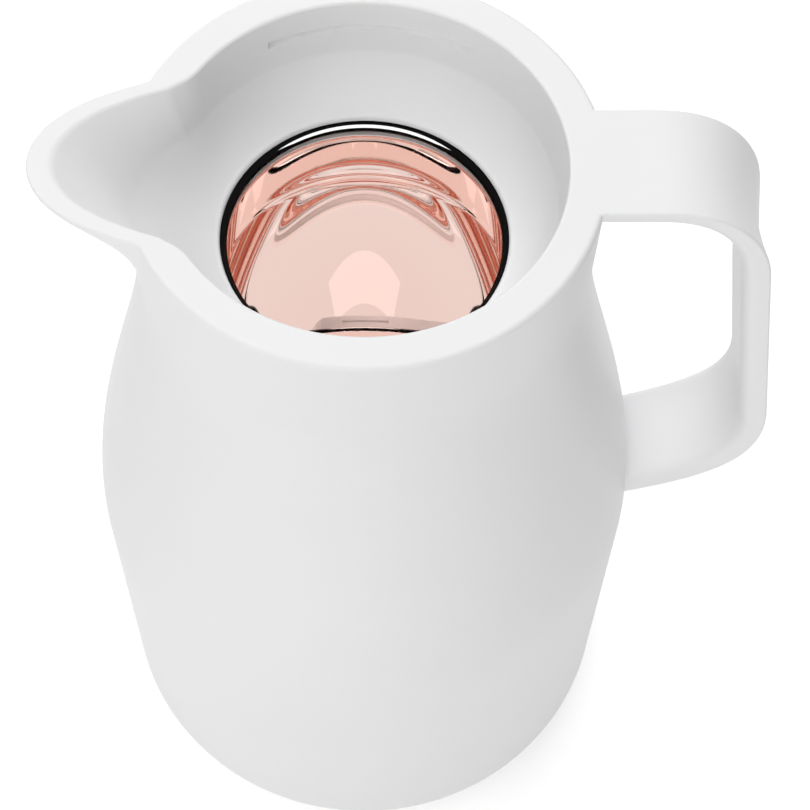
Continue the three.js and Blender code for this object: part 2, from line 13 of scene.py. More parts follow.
import bmesh
import bpy
from bmesh.types import BMesh, BMFace, BMVert
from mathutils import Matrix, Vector
from mathutils.geometry import interpolate_bezier
from mathutils.kdtree import KDTree


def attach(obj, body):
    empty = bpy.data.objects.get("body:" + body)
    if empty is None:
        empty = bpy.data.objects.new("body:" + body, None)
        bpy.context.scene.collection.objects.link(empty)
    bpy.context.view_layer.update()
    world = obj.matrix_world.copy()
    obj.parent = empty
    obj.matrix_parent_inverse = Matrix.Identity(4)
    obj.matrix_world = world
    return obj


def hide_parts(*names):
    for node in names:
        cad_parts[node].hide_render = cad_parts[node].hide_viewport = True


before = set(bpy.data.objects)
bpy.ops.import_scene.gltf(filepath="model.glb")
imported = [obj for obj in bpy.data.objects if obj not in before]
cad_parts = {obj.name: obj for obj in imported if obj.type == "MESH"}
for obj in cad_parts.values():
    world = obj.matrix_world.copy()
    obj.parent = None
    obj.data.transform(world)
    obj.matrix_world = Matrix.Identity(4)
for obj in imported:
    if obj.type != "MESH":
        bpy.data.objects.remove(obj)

LOG = logging.getLogger("carafe")
MM = 0.001
SAME_PLACE = 0.001  # millimetres, for points that only rounding keeps apart
SHARP_ANGLE = math.radians(32.0)
WHITE = (1.0, 1.0, 1.0, 1.0)
Point = tuple[float, float]
Place = tuple[float, float, float]


class Body(Enum):
    """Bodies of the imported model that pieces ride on."""

    JUG = "jug"
    CUSHION = "cushion"
    BASE = "base"


class Slot(Enum):
    """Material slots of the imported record."""

    WHITE_PLASTIC = "white_plastic"
    ROSE_MIRROR = "rose_mirror"
    SILVER_GLASS = "silver_glass"
    BLACK_SILICONE = "black_silicone"
    GREY_RUBBER = "grey_rubber"


def linear(code: str) -> tuple[float, float, float, float]:
    """Turns an sRGB hex colour into the linear colour that a shader socket takes.

    Args:
        code: Colour such as "#F1F1EF".

    Returns:
        Linear red, green and blue, with an alpha of 1.
    """
    parts = [int(code[i : i + 2], 16) / 255.0 for i in (1, 3, 5)]
    red, green, blue = (c / 12.92 if c <= 0.04045 else ((c + 0.055) / 1.055) ** 2.4 for c in parts)
    return (red, green, blue, 1.0)


def per_mm(size: float) -> float:
    """Scale of a texture on Object coordinates whose features are this many millimetres wide."""
    return 1.0 / (size * MM)


def add_node(
    tree: bpy.types.NodeTree,
    kind: str,
    settings: dict[str | int, Any] | None = None,
    links: dict[str | int, bpy.types.NodeSocket] | None = None,
) -> bpy.types.Node:
    """Adds a shader node with its settings and links.

    Args:
        tree: Node tree of a material or a world.
        kind: Class name of the node.
        settings: Values by the name or number of an input, or by the name of a property.
        links: Output sockets by the name or number of the input that they feed.

    Returns:
        The new node.
    """
    node = tree.nodes.new(kind)
    for key, value in (settings or {}).items():
        if isinstance(key, int) or key in node.inputs:
            node.inputs[key].default_value = value
        else:
            setattr(node, key, value)
    for key, socket in (links or {}).items():
        tree.links.new(node.inputs[key], socket)
    return node


def new_material(name: str) -> tuple[bpy.types.Material, bpy.types.NodeTree]:
    """Makes an empty node material.

    Args:
        name: Name of the real material and how its surface was made.

    Returns:
        The material and its node tree.
    """
    material = bpy.data.materials.new(name)
    material.use_nodes = True
    material.node_tree.nodes.clear()
    return material, material.node_tree


def mottled(
    tree: bpy.types.NodeTree,
    width: float,
    colours: tuple[str, str],
    blend: tuple[float, float] = (0.0, 1.0),
    **noise: float,
) -> tuple[bpy.types.NodeSocket, bpy.types.NodeSocket]:
    """Adds clouds on Object coordinates and the colours that they blend.

    Args:
        tree: Node tree of a material.
        width: Width of a cloud in millimetres.
        colours: sRGB hex colours of the clouds' low and high parts.
        blend: Part of the clouds' range over which the one colour turns into the other.
        noise: Further settings of the clouds, by the name of the input.

    Returns:
        Sockets with the clouds' height and with their colour.
    """
    place = add_node(tree, "ShaderNodeTexCoord").outputs["Object"]
    cloud = add_node(tree, "ShaderNodeTexNoise", {"Scale": per_mm(width), **noise}, {"Vector": place})
    tint = add_node(tree, "ShaderNodeValToRGB", {}, {"Fac": cloud.outputs["Fac"]})
    for stop, position, code in zip(tint.color_ramp.elements, blend, colours):
        stop.position, stop.color = position, linear(code)
    return cloud.outputs["Fac"], tint.outputs["Color"]


@dataclass(frozen=True)
class MouldedPlastic:
    """Polypropylene moulded in a tool with a fine satin texture.

    The eye gets a soft broad sheen, white with a trace of grey, and no grain from arm's length.
    """

    shade: str = "#F1F1F2"
    light: str = "#F4F4F4"
    blend: tuple[float, float] = (0.3, 0.7)
    flow_mm: float = 60.0
    roughness: tuple[float, float] = (0.37, 0.47)  # least and most
    ior: float = 1.49
    texture_mm: float = 0.5  # the tool's texture is nearer 0.1 mm, drawn coarser so that it shows
    texture_detail: float = 3.0
    texture_depth_mm: float = 0.004
    texture_strength: float = 0.5

    def material(self) -> bpy.types.Material:
        """Builds the node material.

        Returns:
            The material.
        """
        material, tree = new_material("polypropylene_satin_moulded")
        flow, colour = mottled(tree, self.flow_mm, (self.shade, self.light), self.blend)
        least, most = self.roughness
        gloss = add_node(tree, "ShaderNodeMapRange", {"To Min": least, "To Max": most}, {"Value": flow})
        grain = add_node(
            tree,
            "ShaderNodeTexNoise",
            {"Scale": per_mm(self.texture_mm), "Detail": self.texture_detail},
            {"Vector": add_node(tree, "ShaderNodeTexCoord").outputs["Object"]},
        )
        bump = add_node(
            tree,
            "ShaderNodeBump",
            {"Strength": self.texture_strength, "Distance": self.texture_depth_mm * MM},
            {"Height": grain.outputs["Fac"]},
        )
        links = {"Base Color": colour, "Roughness": gloss.outputs["Result"], "Normal": bump.outputs["Normal"]}
        shader = add_node(tree, "ShaderNodeBsdfPrincipled", {"IOR": self.ior}, links)
        add_node(tree, "ShaderNodeOutputMaterial", {}, {"Surface": shader.outputs[0]})
        return material


@dataclass(frozen=True)
class SilveredGlass:
    """Blown glass silvered on its hidden face, clear or rose tinted.

    The eye gets a clean mirror that takes up a little more of the tint at each bounce, with the slow
    waviness of blown glass.
    """

    name: str
    light: str
    shade: str
    roughness: float = 0.015
    glass_ior: float = 1.5
    wave_mm: float = 34.0
    wave_depth_mm: float = 0.012

    def material(self) -> bpy.types.Material:
        """Builds the node material.

        Returns:
            The material.
        """
        material, tree = new_material(self.name)
        wave, colour = mottled(tree, self.wave_mm, (self.shade, self.light), Detail=0.0)
        bump = add_node(tree, "ShaderNodeBump", {"Distance": self.wave_depth_mm * MM}, {"Height": wave})
        silver = {"Metallic": 1.0, "Roughness": self.roughness}
        glass = {"Coat Weight": 1.0, "Coat IOR": self.glass_ior, "Coat Roughness": 0.0}
        normal = bump.outputs["Normal"]
        links = {"Base Color": colour, "Normal": normal, "Coat Normal": normal}
        shader = add_node(tree, "ShaderNodeBsdfPrincipled", silver | glass, links)
        add_node(tree, "ShaderNodeOutputMaterial", {}, {"Surface": shader.outputs[0]})
        return material


@dataclass(frozen=True)
class PolishedSilicone:
    """Black silicone moulded in a polished tool.

    The eye gets a black shiny ring that catches the lamp as a white crescent.
    """

    colour: str = "#000000"
    ior: float = 1.41
    specular: float = 0.12
    roughness: tuple[float, float] = (0.02, 0.05)  # least and most
    cloud_mm: float = 6.0

    def material(self) -> bpy.types.Material:
        """Builds the node material.

        Returns:
            The material.
        """
        material, tree = new_material("silicone_black_polished")
        place = add_node(tree, "ShaderNodeTexCoord").outputs["Object"]
        cloud = add_node(tree, "ShaderNodeTexNoise", {"Scale": per_mm(self.cloud_mm)}, {"Vector": place})
        least, most = self.roughness
        gloss = add_node(
            tree, "ShaderNodeMapRange", {"To Min": least, "To Max": most}, {"Value": cloud.outputs["Fac"]}
        )
        settings = {"Base Color": linear(self.colour), "IOR": self.ior, "Specular IOR Level": self.specular}
        links = {"Roughness": gloss.outputs["Result"]}
        shader = add_node(tree, "ShaderNodeBsdfPrincipled", settings, links)
        add_node(tree, "ShaderNodeOutputMaterial", {}, {"Surface": shader.outputs[0]})
        return material


@dataclass(frozen=True)
class FusedGlass:
    """Clear glass fused round at the lip, with no silver behind it.

    The eye gets a thin grey line with a glossy edge and faint smoky clouds.
    """

    light: str = "#B8AEAA"
    shade: str = "#A69D99"
    roughness: float = 0.04
    ior: float = 1.5
    cloud_mm: float = 9.0

    def material(self) -> bpy.types.Material:
        """Builds the node material.

        Returns:
            The material.
        """
        material, tree = new_material("glass_clear_fused")
        _, colour = mottled(tree, self.cloud_mm, (self.shade, self.light))
        settings = {"Roughness": self.roughness, "IOR": self.ior}
        shader = add_node(tree, "ShaderNodeBsdfPrincipled", settings, {"Base Color": colour})
        add_node(tree, "ShaderNodeOutputMaterial", {}, {"Surface": shader.outputs[0]})
        return material


@dataclass(frozen=True)
class Rubber:
    """Moulded rubber with a matt, slightly dusty skin.

    The eye gets a soft dull surface with a fine pimple and a faint bloom of lighter grey.
    """

    name: str
    light: str
    shade: str
    roughness: float = 0.85
    ior: float = 1.45
    blend: tuple[float, float] = (0.35, 0.7)
    bloom_mm: float = 14.0
    bloom_detail: float = 4.0
    pimple_mm: float = 0.8
    pimple_depth_mm: float = 0.03
    pimple_strength: float = 0.6

    def material(self) -> bpy.types.Material:
        """Builds the node material.

        Returns:
            The material.
        """
        material, tree = new_material(self.name)
        colours = (self.shade, self.light)
        _, colour = mottled(tree, self.bloom_mm, colours, self.blend, Detail=self.bloom_detail)
        place = add_node(tree, "ShaderNodeTexCoord").outputs["Object"]
        pimple = add_node(
            tree, "ShaderNodeTexVoronoi", {"Scale": per_mm(self.pimple_mm)}, {"Vector": place}
        )
        bump = add_node(
            tree,
            "ShaderNodeBump",
            {"Strength": self.pimple_strength, "Distance": self.pimple_depth_mm * MM, "invert": True},
            {"Height": pimple.outputs["Distance"]},
        )
        settings = {"Roughness": self.roughness, "IOR": self.ior}
        links = {"Base Color": colour, "Normal": bump.outputs["Normal"]}
        shader = add_node(tree, "ShaderNodeBsdfPrincipled", settings, links)
        add_node(tree, "ShaderNodeOutputMaterial", {}, {"Surface": shader.outputs[0]})
        return material


@dataclass(frozen=True)
class PlatedSteel:
    """Zinc-plated steel wire, cold headed and rolled.

    The eye gets a grey metal with cloudy, slightly uneven gloss.
    """

    light: str = "#C6C8CB"
    shade: str = "#A9ABAF"
    roughness: tuple[float, float] = (0.25, 0.45)  # least and most
    cloud_mm: float = 1.2
    cloud_detail: float = 3.0

    def material(self) -> bpy.types.Material:
        """Builds the node material.

        Returns:
            The material.
        """
        material, tree = new_material("steel_zinc_plated")
        cloud, colour = mottled(tree, self.cloud_mm, (self.shade, self.light), Detail=self.cloud_detail)
        least, most = self.roughness
        gloss = add_node(tree, "ShaderNodeMapRange", {"To Min": least, "To Max": most}, {"Value": cloud})
        links = {"Base Color": colour, "Roughness": gloss.outputs["Result"]}
        shader = add_node(tree, "ShaderNodeBsdfPrincipled", {"Metallic": 1.0}, links)
        add_node(tree, "ShaderNodeOutputMaterial", {}, {"Surface": shader.outputs[0]})
        return material


@dataclass(frozen=True)
class PressedFelt:
    """Mineral fibre pressed into a pad.

    The eye gets a pale matt block with short crossing fibres.
    """

    light: str = "#D3CCBE"
    shade: str = "#B4AC9C"
    roughness: float = 0.95
    fibre_mm: float = 0.5
    fibre_detail: float = 6.0
    fibre_twist: float = 2.5
    fibre_depth_mm: float = 0.12
    fibre_strength: float = 0.8

    def material(self) -> bpy.types.Material:
        """Builds the node material.

        Returns:
            The material.
        """
        material, tree = new_material("mineral_felt_pressed")
        noise = {"Detail": self.fibre_detail, "Distortion": self.fibre_twist}
        fibre, colour = mottled(tree, self.fibre_mm, (self.shade, self.light), **noise)
        bump = add_node(
            tree,
            "ShaderNodeBump",
            {"Strength": self.fibre_strength, "Distance": self.fibre_depth_mm * MM},
            {"Height": fibre},
        )
        links = {"Base Color": colour, "Normal": bump.outputs["Normal"]}
        shader = add_node(tree, "ShaderNodeBsdfPrincipled", {"Roughness": self.roughness}, links)
        add_node(tree, "ShaderNodeOutputMaterial", {}, {"Surface": shader.outputs[0]})
        return material


@dataclass(frozen=True)
class PaperSweep:
    """Matt white paper that the carafe stands on, outside the object."""

    colour: str = "#E6E6E6"
    lift: float = 0.47  # strength that lets the paper reach white to the eye and in reflections

    def material(self) -> bpy.types.Material:
        """Builds the node material, with a glow for rays from the eye, from mirrors and through glass.

        Returns:
            The material.
        """
        material, tree = new_material("paper_matt_white")
        matt = add_node(tree, "ShaderNodeBsdfDiffuse", {"Color": linear(self.colour)})
        path = add_node(tree, "ShaderNodeLightPath").outputs
        seen = path["Is Camera Ray"]
        for kind in ("Is Glossy Ray", "Is Transmission Ray"):
            either = add_node(tree, "ShaderNodeMath", {"operation": "MAXIMUM"}, {0: seen, 1: path[kind]})
            seen = either.outputs[0]
        level = add_node(tree, "ShaderNodeMath", {"operation": "MULTIPLY", 1: self.lift}, {0: seen})
        glow = add_node(tree, "ShaderNodeEmission", {"Color": WHITE}, {"Strength": level.outputs[0]})
        both = add_node(tree, "ShaderNodeAddShader", {}, {0: matt.outputs[0], 1: glow.outputs[0]})
        add_node(tree, "ShaderNodeOutputMaterial", {}, {"Surface": both.outputs[0]})
        return material


def line(start: Point, end: Point, steps: int) -> list[Point]:
    """Points along a straight line, both ends included.

    Args:
        start: First point, as radius and height.
        end: Last point.
        steps: Number of steps between them.

    Returns:
        The points in order.
    """
    return [
        (start[0] + (end[0] - start[0]) * i / steps, start[1] + (end[1] - start[1]) * i / steps)
        for i in range(steps + 1)
    ]


def arc(middle: Point, size: Point, start: float, end: float, steps: int) -> list[Point]:
    """Points along an arc of an ellipse.

    Args:
        middle: Centre, as radius and height.
        size: Half axes along radius and height.
        start: First angle in degrees.
        end: Last angle in degrees.
        steps: Number of steps between them.

    Returns:
        The points in order.
    """
    angles = [math.radians(start + (end - start) * i / steps) for i in range(steps + 1)]
    return [(middle[0] + size[0] * math.cos(a), middle[1] + size[1] * math.sin(a)) for a in angles]


def bezier(start: Point, first: Point, second: Point, end: Point, steps: int) -> list[Point]:
    """Points along a cubic curve.

    Args:
        start: First point.
        first: Handle of the first point.
        second: Handle of the last point.
        end: Last point.
        steps: Number of steps between the ends.

    Returns:
        The points in order.
    """
    knots = [Vector((r, z, 0.0)) for r, z in (start, first, second, end)]
    return [(p.x, p.y) for p in interpolate_bezier(*knots, steps + 1)]


def joined(*runs: Sequence[Point]) -> list[Point]:
    """Runs of points as one line, with no point twice in a row.

    Args:
        runs: Lists of points, each going on from the one before.

    Returns:
        All points in order.
    """
    path: list[Point] = []
    for run in runs:
        for place in run:
            if not path or math.dist(path[-1], place) > SAME_PLACE:
                path.append(place)
    return path


def turned(profile: Sequence[Point], columns: int, closed: bool = False) -> BMesh:
    """Spins a profile about Z.

    Args:
        profile: Radius and height of each point, in millimetres.
        columns: Number of steps round the axis.
        closed: Whether the last point joins the first.

    Returns:
        A closed mesh whose faces point outwards.
    """
    mesh = bmesh.new()
    verts = [mesh.verts.new((r * MM, 0.0, z * MM)) for r, z in profile]
    pairs = list(zip(verts, verts[1:])) + ([(verts[-1], verts[0])] if closed else [])
    edges = [mesh.edges.new(pair) for pair in pairs]
    bmesh.ops.spin(
        mesh,
        geom=verts + edges,
        axis=(0.0, 0.0, 1.0),
        cent=(0.0, 0.0, 0.0),
        angle=math.tau,
        steps=columns,
        use_merge=True,
    )
    bmesh.ops.remove_doubles(mesh, verts=mesh.verts, dist=SAME_PLACE * MM)
    bmesh.ops.recalc_face_normals(mesh, faces=mesh.faces)
    return mesh


def as_piece(
    mesh: BMesh,
    name: str,
    body: Body,
    nodes: Sequence[str],
    materials: Sequence[bpy.types.Material],
) -> bpy.types.Object:
    """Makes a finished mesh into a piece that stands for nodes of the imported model.

    Args:
        mesh: The mesh, which is freed.
        name: Name of the piece.
        body: Body that it rides on.
        nodes: Nodes that it stands for.
        materials: Its materials, in the order of its faces' material numbers.

    Returns:
        The new object.
    """
    data = bpy.data.meshes.new(name)
    mesh.to_mesh(data)
    mesh.free()
    data.polygons.foreach_set("use_smooth", [True] * len(data.polygons))
    data.set_sharp_from_angle(angle=SHARP_ANGLE)
    for material in materials:
        data.materials.append(material)
    piece = bpy.data.objects.new(name, data)
    bpy.context.scene.collection.objects.link(piece)
    flat = piece.modifiers.new("flat_faces", "WEIGHTED_NORMAL")
    flat.keep_sharp = True
    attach(piece, body.value)
    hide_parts(*nodes)
    LOG.info("%s: %d faces, rides on %s", name, len(data.polygons), body.value)
    return piece


def dress_node(name: str, material: bpy.types.Material) -> None:
    """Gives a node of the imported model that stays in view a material.

    Args:
        name: Name of the node.
        material: Its material.
    """
    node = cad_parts[name]
    node.data.materials.clear()
    node.data.materials.append(material)
    LOG.info("%s: dressed in %s", name, material.name)


@dataclass
class Shell:
    """Jacket and pouring collar, moulded so that they look like one skin."""

    foot: float = 0.8
    rim: float = 217.4
    belly_radius: float = 65.0
    belly: float = 91.2
    flank_radius: float = 63.6
    base_rounding: float = 15.3
    land_edge: float = 48.3
    bore: float = 46.6
    socket_top: float = 13.8
    wall: float = 2.5
    neck_radius: float = 48.2
    neck: float = 188.7
    neck_spread: float = 1.4
    neck_ease: float = 31.3
    belly_ease: float = 33.8
    rim_radius: float = 48.9
    rim_edge: float = 1.2
    mouth: float = 41.1
    mouth_edge: float = 0.8
    seat: float = 40.0
    seat_depth: float = 14.0
    throat: float = 30.5
    throat_edge: float = 0.9
    funnel_depth: float = 25.3
    funnel_ease: float = 0.3  # share of the way to its corner that the curve leans, 0 for a cone
    ledge: float = 190.9
    spout_reach: float = 19.3
    spout_half_angle: float = 25.3
    spout_roundness: float = 1.23
    spout_depth: float = 28.0
    spout_brow: float = 1.64
    spout_sweep: float = 5.4
    channel_spare: float = 2.5  # channel's edge nearer the lip than the mouth's edge is to the rim's
    channel_flare: float = 9.3
    channel_roundness: float = 2.31
    channel_sweep: float = 1.3
    spout_gather: float = 0.5
    groove_depth: float = 1.3
    groove_height: float = 2.4
    groove_below_rim: float = 5.5
    groove_start: float = 57.0
    groove_sweep: float = 63.0
    columns: int = 320
    foot_steps: int = 18
    flank_steps: int = 10
    side_steps: int = 40
    neck_steps: int = 30
    rim_steps: int = 8
    seat_steps: int = 6
    groove_steps: int = 2
    funnel_steps: int = 28
    throat_steps: int = 3
    hidden_stride: int = 3  # points of the skin to each point of the hidden face

    def skin(self) -> list[Point]:
        """Outside from the foot to the start of the rim's rounding, without the spout.

        Returns:
            The points in order.
        """
        start = (self.land_edge, self.foot + self.base_rounding)
        rounding = (self.base_rounding, self.base_rounding)
        belt = (self.belly_radius, self.belly)
        neck = (self.neck_radius, self.neck)
        belt_handle = (self.belly_radius, self.belly + self.belly_ease)
        neck_handle = (self.neck_radius + self.neck_spread, self.neck - self.neck_ease)
        return joined(
            arc(start, rounding, -90.0, 0.0, self.foot_steps),
            line((self.flank_radius, self.foot + self.base_rounding), belt, self.flank_steps),
            bezier(belt, belt_handle, neck_handle, neck, self.side_steps),
            line(neck, (self.rim_radius, self.rim - self.rim_edge), self.neck_steps),
        )

    def mouth_line(self) -> list[Point]:
        """Rim, lid seat, funnel and throat, from the outside inwards, without the spout.

        Returns:
            The points in order.
        """
        top = self.rim
        outer = self.rim_radius - self.rim_edge
        inner = self.mouth + self.mouth_edge
        groove_top = top - self.groove_below_rim
        groove_floor = groove_top - self.groove_height
        seat_end = (self.seat, top - self.seat_depth)
        draft = (self.mouth - self.seat) / (self.seat_depth - self.mouth_edge)

        def wall_at(height: float) -> Point:
            """Point of the seat's wall at a height."""
            return (self.seat + draft * (height - seat_end[1]), height)

        steps = self.seat_steps
        edge = (self.throat + self.throat_edge, top - self.funnel_depth)
        bend = (self.seat, edge[1])
        throat_top = edge[1] - self.throat_edge
        third = tuple((edge[i] - seat_end[i]) / 3.0 for i in (0, 1))
        lean = tuple((bend[i] - (seat_end[i] + edge[i]) / 2.0) * self.funnel_ease for i in (0, 1))
        upper = tuple(seat_end[i] + third[i] + lean[i] for i in (0, 1))
        lower = tuple(edge[i] - third[i] + lean[i] for i in (0, 1))
        return joined(
            arc((outer, top - self.rim_edge), (self.rim_edge, self.rim_edge), 0.0, 90.0, self.rim_steps),
            line((outer, top), (inner, top), steps),
            arc((inner, top - self.mouth_edge), (self.mouth_edge, self.mouth_edge), 90.0, 180.0, steps),
            line((self.mouth, top - self.mouth_edge), wall_at(groove_top), steps),
            line(wall_at(groove_top), wall_at(groove_floor), self.groove_steps),
            line(wall_at(groove_floor), seat_end, steps),
            bezier(seat_end, upper, lower, edge, self.funnel_steps),
            arc((edge[0], throat_top), (self.throat_edge, self.throat_edge), 90.0, 180.0, steps),
            line((self.throat, throat_top), (self.throat, self.ledge), self.throat_steps),
        )

    def inside(self) -> list[Point]:
        """Hidden face from under the throat down to the base opening.

        Returns:
            The points in order.
        """
        skin = [(r - self.wall, z) for r, z in self.skin() if self.socket_top < z < self.ledge - self.wall]
        outer = self.bore + self.wall
        return joined(
            [(self.throat, self.ledge), (skin[-1][0], self.ledge)],
            skin[:: -self.hidden_stride],
            [(outer, self.socket_top), (self.bore, self.socket_top), (self.bore, self.foot)],
        )

    def lip_pull(self, angle: float, depth: float) -> float:
        """How far the spout draws the outside out.

        Args:
            angle: Radians from the spout's middle.
            depth: Millimetres below the rim.

        Returns:
            Millimetres outward.
        """
        share = min(angle / math.radians(self.spout_half_angle), 1.0)
        sweep = max(0.0, 1.0 - (depth / self.spout_depth) ** self.spout_brow) ** self.spout_sweep
        return self.spout_reach * math.cos(share * math.pi / 2.0) ** self.spout_roundness * sweep

    def channel_pull(self, angle: float, depth: float) -> float:
        """How far the spout draws the lid seat out, which makes the pouring channel.

        Args:
            angle: Radians from the spout's middle.
            depth: Millimetres below the rim.

        Returns:
            Millimetres outward.
        """
        share = min(angle / math.radians(self.spout_half_angle + self.channel_flare), 1.0)
        reach = self.spout_reach + self.channel_spare
        channel = reach * math.cos(share * math.pi / 2.0) ** self.channel_roundness
        sweep = max(0.0, 1.0 - depth / self.funnel_depth) ** self.channel_sweep
        return min(channel, self.lip_pull(angle, 0.0) + self.channel_spare) * sweep

    def draw_spout(self, mesh: BMesh) -> None:
        """Draws the turned shell out towards the spout, with its columns gathered there.

        Args:
            mesh: The turned shell, which is changed.
        """
        inner, outer = self.mouth + self.mouth_edge, self.rim_radius - self.rim_edge
        for vert in mesh.verts:
            radius, height = math.hypot(vert.co.x, vert.co.y) / MM, vert.co.z / MM
            even = math.atan2(vert.co.y, -vert.co.x)
            angle = even - self.spout_gather * math.sin(even)
            depth = max(0.0, self.rim - height)
            share = min(max((radius - inner) / (outer - inner), 0.0), 1.0)
            lip, channel = self.lip_pull(abs(angle), depth), self.channel_pull(abs(angle), depth)
            reach = (radius + channel + (lip - channel) * share) * MM
            vert.co.x, vert.co.y = -reach * math.cos(angle), reach * math.sin(angle)

    def sink_grooves(self, mesh: BMesh) -> None:
        """Sinks the two grooves for the lid's lugs into the seat's wall.

        Args:
            mesh: The shell with its spout, which is changed.
        """
        ends = (math.radians(self.groove_start), math.radians(self.groove_start + self.groove_sweep))
        for end in ends:
            bmesh.ops.bisect_plane(
                mesh,
                geom=mesh.verts[:] + mesh.edges[:] + mesh.faces[:],
                dist=SAME_PLACE * MM,
                plane_co=(0.0, 0.0, 0.0),
                plane_no=(-math.sin(end), math.cos(end), 0.0),
            )
        top = (self.rim - self.groove_below_rim) * MM
        floor = top - self.groove_height * MM
        band = []
        for face in mesh.faces:
            middle = face.calc_center_median()
            angle = math.atan2(middle.y, middle.x) % math.pi
            on_wall = math.hypot(middle.x, middle.y) < (self.mouth + self.mouth_edge) * MM
            if on_wall and floor < middle.z < top and ends[0] < angle < ends[1]:
                band.append(face)
        sunk = bmesh.ops.extrude_face_region(mesh, geom=band)["geom"]
        for vert in (part for part in sunk if isinstance(part, BMVert)):
            outward = Vector((vert.co.x, vert.co.y, 0.0)).normalized()
            vert.co += outward * self.groove_depth * MM
        bmesh.ops.delete(mesh, geom=band, context="FACES")

    def build(self, plastic: bpy.types.Material) -> bpy.types.Object:
        """Spins the shell, draws out the spout and sinks the lid grooves.

        Args:
            plastic: Material of the moulding.

        Returns:
            The piece.
        """
        profile = joined(self.skin(), self.mouth_line(), self.inside())
        mesh = turned(profile, self.columns, closed=True)
        self.draw_spout(mesh)
        self.sink_grooves(mesh)
        nodes = ("outer_jacket", "pouring_collar")
        return as_piece(mesh, "moulded_shell", Body.JUG, nodes, [plastic])


